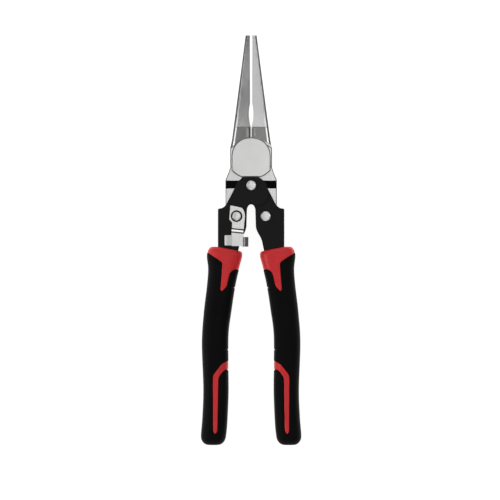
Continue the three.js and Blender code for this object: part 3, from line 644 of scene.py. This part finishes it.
class Surface:
    """A node material: a Principled shader, with helpers for the patterns that feed it.

    The patterns are placed by object coordinates, in metres.
    """

    def __init__(self, name, color, metallic, roughness, specular=0.5):
        self.material = bpy.data.materials.new(name)
        self.material.use_nodes = True
        self.tree = self.material.node_tree
        self.shader = self.tree.nodes["Principled BSDF"]
        self.shader.inputs["Base Color"].default_value = (*color, 1)
        self.shader.inputs["Metallic"].default_value = metallic
        self.shader.inputs["Roughness"].default_value = roughness
        self.shader.inputs["Specular IOR Level"].default_value = specular
        self.place = self.add("ShaderNodeTexCoord").outputs["Object"]

    def add(self, kind, inputs=None, **settings):
        """A new node, with its settings made and its inputs fed."""
        node = self.tree.nodes.new(kind)
        for key, value in settings.items():
            setattr(node, key, value)
        for key, value in (inputs or {}).items():
            self.feed(node.inputs[key], value)
        return node

    def feed(self, socket, value):
        """Sets a socket to a number, or links another node's output to it."""
        if isinstance(value, bpy.types.NodeSocket):
            self.tree.links.new(value, socket)
        else:
            socket.default_value = value

    def stretched(self, scale, turn=(0, 0, 0)):
        """Object coordinates, scaled by repeats per metre along each axis."""
        mapping = self.add("ShaderNodeMapping", {"Vector": self.place, "Scale": scale, "Rotation": turn})
        return mapping.outputs["Vector"]

    def noise(self, place, detail=3.0):
        """Cloudy noise with one repeat for each unit of its coordinates."""
        node = self.add("ShaderNodeTexNoise", {"Vector": place, "Scale": 1.0, "Detail": detail,
                                               "Roughness": 0.55})
        return node.outputs["Fac"]

    def grains(self, place):
        """Rounded cells, one for each unit of its coordinates."""
        node = self.add("ShaderNodeTexVoronoi", {"Vector": place, "Scale": 1.0}, feature="SMOOTH_F1")
        return node.outputs["Distance"]

    def spread(self, value, low, high, low_in=0.3, high_in=0.7):
        """Maps a pattern onto a range."""
        node = self.add("ShaderNodeMapRange", {"Value": value, "From Min": low_in, "From Max": high_in,
                                               "To Min": low, "To Max": high})
        return node.outputs["Result"]

    def math(self, operation, a, b=0.0):
        """The output of a math node."""
        node = self.add("ShaderNodeMath", {0: a, 1: b}, operation=operation)
        return node.outputs[0]

    def between(self, value, limits, unit=MM):
        """1 where a value is between two limits, 0 elsewhere."""
        low, high = limits
        above = self.math("GREATER_THAN", value, low * unit)
        return self.math("MULTIPLY", above, self.math("LESS_THAN", value, high * unit))

    def both(self, a, b):
        """1 where both are 1."""
        return self.math("MULTIPLY", a, b)

    def either(self, a, b):
        """The larger of two."""
        return self.math("MAXIMUM", a, b)

    def axes(self, vector):
        """The X, Y and Z outputs of a vector."""
        return self.add("ShaderNodeSeparateXYZ", {"Vector": vector}).outputs

    def jaw_painted_shade(self):
        """Painted shade on the jaw, from 0 to 1: in the recessed faces below the step and the cutter's
        relief, on the chamfers, and a painted shadow on the foot under the boss.
        """
        place = self.axes(self.place)
        facing = self.axes(self.add("ShaderNodeTexCoord").outputs["Normal"])
        from_middle = self.math("ABSOLUTE", self.math("SUBTRACT", place["Z"], MID_Z * MM))
        across = self.math("ABSOLUTE", place["X"])
        fallen = self.math("ADD", from_middle, self.math("MULTIPLY", across, FACE_SLOPE))
        relief = self.both(self.between(across, RELIEF_X), self.between(from_middle, RELIEF_DEPTH))
        relief = self.math("MULTIPLY", relief, RELIEF_PAINTED_SHADE)
        step = self.either(self.between(fallen, STEP_DEPTH), relief)
        step = self.both(step, self.between(place["Y"], STEP_Y))
        chamfer = self.between(self.math("ABSOLUTE", facing["Z"]), CHAMFER_UPRIGHT, 1.0)
        # painted shade: the recess and the chamfers are darkened as if they lay in shade
        ground = self.math("MULTIPLY", self.either(step, chamfer), JAW_PAINTED_SHADE)
        beyond = self.math("MAXIMUM", self.math("SUBTRACT", across, SHOULDER_X * MM), 0.0)
        shoulder = self.math("ADD", place["Y"], self.math("MULTIPLY", beyond, SHOULDER_SLOPE))
        # painted shadow on the foot, where it lies under the boss between the tails
        foot = self.both(self.between(across, FOOT_X), self.between(from_middle, FOOT_DEPTH))
        return self.either(self.both(foot, self.between(shoulder, FOOT_Y)), ground)

    def latch_painted_shade(self):
        """Painted shade on the latch, from 0 to 1: in its two pressed creases, on the hook where its bend
        turns away, and on the sloping thumb tab.
        """
        place = self.axes(self.place)
        along = self.math("ADD", place["Y"], self.math("MULTIPLY", place["X"], CREASE_SLOPE))
        painted_shade = self.either(*[self.between(along, limits) for limits in CREASES_Y])
        # painted shade on the hook's bend and the sloping thumb tab, box by box
        for x, y, amount in LATCH_PAINTED_SHADE:
            box = self.both(self.between(place["X"], x), self.between(place["Y"], y))
            painted_shade = self.either(painted_shade, self.math("MULTIPLY", box, amount))
        return painted_shade

    def tint(self, value, dark, light):
        """Base colour between two colours, by a pattern from 0 to 1."""
        ramp = self.add("ShaderNodeValToRGB", {"Fac": value})
        ramp.color_ramp.elements[0].color = (*dark, 1)
        ramp.color_ramp.elements[1].color = (*light, 1)
        self.feed(self.shader.inputs["Base Color"], ramp.outputs["Color"])

    def rough(self, value):
        """Roughness by a pattern."""
        self.feed(self.shader.inputs["Roughness"], value)

    def bump(self, *layers, edge=0.0):
        """Bump from (height pattern, depth in millimetres) layers, over edges rounded by a radius."""
        normal = None
        if edge:
            normal = self.add("ShaderNodeBevel", {"Radius": edge * MM}, samples=6).outputs["Normal"]
        for height, depth in layers:
            node = self.add("ShaderNodeBump", {"Height": height, "Strength": 1.0, "Distance": depth * MM})
            if normal is not None:
                self.feed(node.inputs["Normal"], normal)
            normal = node.outputs["Normal"]
        self.feed(self.shader.inputs["Normal"], normal)


def ground_steel(name, color, roughness, shade_painter, darker):
    """Satin ground steel: fine grinding lines along the jaws, faint cloudiness and a few scratches.

    The shade function passed in draws how much painted shade each place gets, from 0 to 1; darker is what
    full shade takes off the tone, and it also roughens the place a little.
    """
    steel = Surface(name, color, 1.0, roughness)
    lines = steel.noise(steel.stretched((9000, 180, 9000)), detail=2.0)
    cloud = steel.noise(steel.stretched((90, 60, 90)), detail=4.0)
    scratch_place = steel.stretched((1500, 70, 1500), turn=(0, 0, 0.35))
    scratch = steel.spread(steel.noise(scratch_place, detail=1.0), 0.0, 1.0, 0.74, 0.80)
    tone = steel.math("ADD", steel.math("MULTIPLY", lines, 0.5), steel.math("MULTIPLY", cloud, 0.5))
    tone = steel.spread(tone, 0.86, 1.0, 0.35, 0.65)
    rough = steel.math("ADD", steel.spread(cloud, roughness - 0.03, roughness + 0.04),
                       steel.math("MULTIPLY", lines, 0.05))
    painted_shade = shade_painter(steel)
    # painted shade: the tone is darkened where the passed-in drawing says
    tone = steel.math("SUBTRACT", tone, steel.math("MULTIPLY", painted_shade, darker))
    rough = steel.math("ADD", rough, steel.math("MULTIPLY", painted_shade, 0.12))
    steel.tint(tone, [c * 0.1 for c in color], color)
    steel.rough(rough)
    steel.bump((lines, 0.0005), (scratch, -0.0004), edge=0.08)
    return steel.material


def turned_steel(name, color, roughness):
    """Bright turned steel: faint rings about the piece's own axis."""
    steel = Surface(name, color, 1.0, roughness)
    rings = steel.add("ShaderNodeTexWave", {"Vector": steel.place, "Scale": 2600.0, "Distortion": 0.6},
                      wave_type="RINGS", rings_direction="Z")
    cloud = steel.noise(steel.stretched((350, 350, 350)))
    steel.tint(steel.spread(cloud, 0.0, 1.0), [c * 0.94 for c in color], color)
    steel.rough(steel.spread(cloud, roughness - 0.05, roughness + 0.07))
    steel.bump((rings.outputs["Fac"], 0.0004), (cloud, 0.002))
    return steel.material


def painted(name, color, roughness, peel, specular=0.16):
    """Black coating with a slight orange peel."""
    paint = Surface(name, color, 0.0, roughness, specular)
    bumps = paint.noise(paint.stretched((1500, 1500, 1500)), detail=2.0)
    cloud = paint.noise(paint.stretched((70, 70, 70)), detail=5.0)
    paint.tint(paint.spread(cloud, 0.0, 1.0), [c * 0.75 for c in color], [c * 1.25 for c in color])
    paint.rough(paint.spread(cloud, roughness - 0.05, roughness + 0.06))
    paint.bump((bumps, peel), (cloud, 0.006), edge=0.25)
    return paint.material


def moulded(name, color, shade, roughness, grain_size, grain_depth, specular=0.5):
    """Moulded plastic or rubber with a fine leathery grain, its size and depth in millimetres."""
    plastic = Surface(name, color, 0.0, roughness, specular)
    per_metre = 1000.0 / grain_size
    grain = plastic.grains(plastic.stretched((per_metre,) * 3))
    speck = plastic.noise(plastic.stretched((per_metre * 2.3,) * 3), detail=2.0)
    cloud = plastic.noise(plastic.stretched((45, 45, 45)), detail=5.0)
    plastic.tint(plastic.spread(cloud, 0.0, 1.0), shade, color)
    uneven = plastic.spread(cloud, roughness - 0.05, roughness + 0.05)
    plastic.rough(plastic.math("ADD", uneven, plastic.math("MULTIPLY", grain, 0.08)))
    plastic.bump((grain, grain_depth), (speck, grain_depth * 0.4), (cloud, 0.01))
    return plastic.material


def make_materials():
    """Every finish, by its slot name."""
    red, red_shade = (0.89, 0.0285, 0.0345), (0.8, 0.0245, 0.0285)
    black, black_shade = (0.0052, 0.0052, 0.0055), (0.0037, 0.0037, 0.0039)
    return {
        "jaw_steel": ground_steel("jaw_steel", (0.80, 0.80, 0.795), 0.2, Surface.jaw_painted_shade, 1.0),
        "latch_steel": ground_steel("latch_steel", (0.95, 0.95, 0.94), 0.25, Surface.latch_painted_shade, 0.9),
        "rivet_steel": turned_steel("rivet_steel", (0.87, 0.87, 0.86), 0.27),
        "spring_steel": turned_steel("spring_steel", (0.30, 0.29, 0.28), 0.35),
        "black_paint": painted("black_paint", (0.009, 0.009, 0.0095), 0.42, 0.002),
        "black_band": painted("black_band", (0.002, 0.002, 0.002), 0.5, 0.002, 0.06),
        "black_washer": painted("black_washer", (0.003, 0.003, 0.003), 0.5, 0.002, 0.06),
        "red_grip": moulded("red_grip", red, red_shade, 0.36, 0.35, 0.003, 0.4),
        "black_grip": moulded("black_grip", black, black_shade, 0.5, 0.42, 0.005, 0.06),
    }


# ---------- the steel parts kept from the frame ----------
KEPT_NODES = {
    "front_jaw": "jaw_steel",
    "rear_jaw": "jaw_steel",
    "left_handle_frame": "black_paint",
    "right_handle_frame": "black_paint",
    "latch": "latch_steel",
    "left_tail_band": "black_band",
    "right_tail_band": "black_band",
}


def smooth_by_angle(limit):
    """Geometry nodes that shade a mesh smooth, but for edges that turn more than a limit in degrees."""
    group = bpy.data.node_groups.new("smooth_by_angle", "GeometryNodeTree")
    group.interface.new_socket("Geometry", in_out="INPUT", socket_type="NodeSocketGeometry")
    group.interface.new_socket("Geometry", in_out="OUTPUT", socket_type="NodeSocketGeometry")
    add, link = group.nodes.new, group.links.new
    turn = add("GeometryNodeInputMeshEdgeAngle")
    compare = add("FunctionNodeCompare")
    compare.operation = "LESS_THAN"
    compare.inputs[1].default_value = math.radians(limit)
    shade = add("GeometryNodeSetShadeSmooth")
    shade.domain = "EDGE"
    start, end = add("NodeGroupInput"), add("NodeGroupOutput")
    link(turn.outputs["Unsigned Angle"], compare.inputs[0])
    link(compare.outputs["Result"], shade.inputs["Shade Smooth"])
    link(start.outputs[0], shade.inputs["Geometry"])
    link(shade.outputs["Geometry"], end.inputs[0])
    return group


def dress_kept_nodes(materials):
    """The CAD meshes, with split corners joined, smooth curves, crisp edges and their materials."""
    corner_gap = 0.002
    ground = smooth_by_angle(9)
    folded = smooth_by_angle(24)
    for name, slot in KEPT_NODES.items():
        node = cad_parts[name]
        node.data.materials.clear()
        node.data.materials.append(materials[slot])
        with bpy.context.temp_override(object=node, active_object=node, selected_objects=[node]):
            bpy.ops.mesh.customdata_custom_splitnormals_clear()
        node.data.shade_smooth()
        node.modifiers.new("join", "WELD").merge_threshold = corner_gap * MM
        node.modifiers.new("smooth", "NODES").node_group = folded if slot == "black_paint" else ground


# ---------- the studio ----------
def make_floor():
    """A pale card under the pliers, which glows a little, as a lit background does."""
    half = 3.0
    corners = [(-half, -half, 0), (half, -half, 0), (half, half, 0), (-half, half, 0)]
    mesh = bpy.data.meshes.new("floor")
    mesh.from_pydata(corners, [], [(0, 1, 2, 3)])
    surface = Surface("floor_card", (0.4, 0.4, 0.4), 0.0, 0.8, 0.2)
    speck = surface.noise(surface.stretched((900, 900, 900)))
    surface.tint(surface.spread(speck, 0.0, 1.0), (0.39, 0.39, 0.39), (0.41, 0.41, 0.41))
    surface.shader.inputs["Emission Color"].default_value = (1, 1, 1, 1)
    surface.shader.inputs["Emission Strength"].default_value = 0.9
    mesh.materials.append(surface.material)
    floor = bpy.data.objects.new("floor", mesh)
    bpy.context.scene.collection.objects.link(floor)


# Soft boxes: name, place, the point that each faces, width and height in metres, and power in watts.
OVERHEAD = (0.0975, -0.2, 2.3)
ORIGIN = (0, 0, 0)
SOFT_BOXES = (
    ("overhead", OVERHEAD, (*OVERHEAD[:2], 0), (0.555, 2.2), 3.8),
    ("left_facet", (-1.0, 0.25, 1.6), ORIGIN, (0.2, 1.4), 2.4),
    ("right_facet", (1.0, 0.25, 1.6), ORIGIN, (0.24, 1.4), 2.6),
    ("left_low", (-1.5, -0.26, 0.8), ORIGIN, (0.1, 0.5), 4),
    ("tip_end", (0.0, 1.5, 1.4), ORIGIN, (2.2, 1.0), 7.5),
    ("grip_end", (0.0, -1.5, 1.1), ORIGIN, (1.6, 0.6), 4.5),
)

# Brightness of the studio's walls against height, as the sine of the angle above the floor.
WALL_GLOW = (
    (0.0, 0.55), (0.21, 0.55),
    (0.27, 0.03), (0.39, 0.03),
    (0.46, 0.26), (0.64, 0.26),
    (0.74, 0.05),
)


def add_light(name, place, aim, size, power):
    """A rectangular soft box that faces a point."""
    data = bpy.data.lights.new(name, "AREA")
    data.shape = "RECTANGLE"
    data.size, data.size_y = size
    data.energy = power
    light = bpy.data.objects.new(name, data)
    light.location = place
    light.rotation_euler = (Vector(aim) - Vector(place)).to_track_quat("-Z", "Y").to_euler()
    bpy.context.scene.collection.objects.link(light)


def make_walls():
    """A dim studio with a soft glow low on its walls and a fainter one above, for steel to reflect."""
    world = bpy.data.worlds.new("studio")
    world.use_nodes = True
    tree = world.node_tree
    direction = tree.nodes.new("ShaderNodeTexCoord").outputs["Generated"]
    apart = tree.nodes.new("ShaderNodeSeparateXYZ")
    glow = tree.nodes.new("ShaderNodeValToRGB")
    stops = glow.color_ramp.elements
    stops.remove(stops[1])
    for place, level in WALL_GLOW:
        stop = stops[0] if place == 0 else stops.new(place)
        stop.color = (level, level, level, 1)
    tree.links.new(direction, apart.inputs["Vector"])
    tree.links.new(apart.outputs["Z"], glow.inputs["Fac"])
    tree.links.new(glow.outputs["Color"], tree.nodes["Background"].inputs["Color"])
    bpy.context.scene.world = world


def make_studio():
    """The walls and the soft boxes."""
    make_walls()
    bpy.context.scene.view_settings.view_transform = "Standard"
    for soft_box in SOFT_BOXES:
        add_light(*soft_box)


def make_camera():
    """Straight down on the pliers, as a long lens sees them."""
    data = bpy.data.cameras.new("camera")
    data.lens = 200
    data.sensor_width = 36
    data.clip_end = 20
    view_width = 0.30975
    look_at = (-0.0007, -0.0062, 0.0125)
    camera = bpy.data.objects.new("camera", data)
    camera.location = (look_at[0], look_at[1], look_at[2] + view_width * data.lens / data.sensor_width)
    bpy.context.scene.collection.objects.link(camera)
    bpy.context.scene.camera = camera


# ---------- the scene ----------
def build():
    """Dresses the CAD nodes that stay, makes the pieces that replace the others, and sets the stage."""
    materials = make_materials()
    dress_kept_nodes(materials)
    build_grips(materials["red_grip"], materials["black_grip"])
    build_fasteners(materials["rivet_steel"], materials["spring_steel"], materials["black_washer"])
    build_spring(materials["spring_steel"])
    make_floor()
    make_studio()
    make_camera()


build()
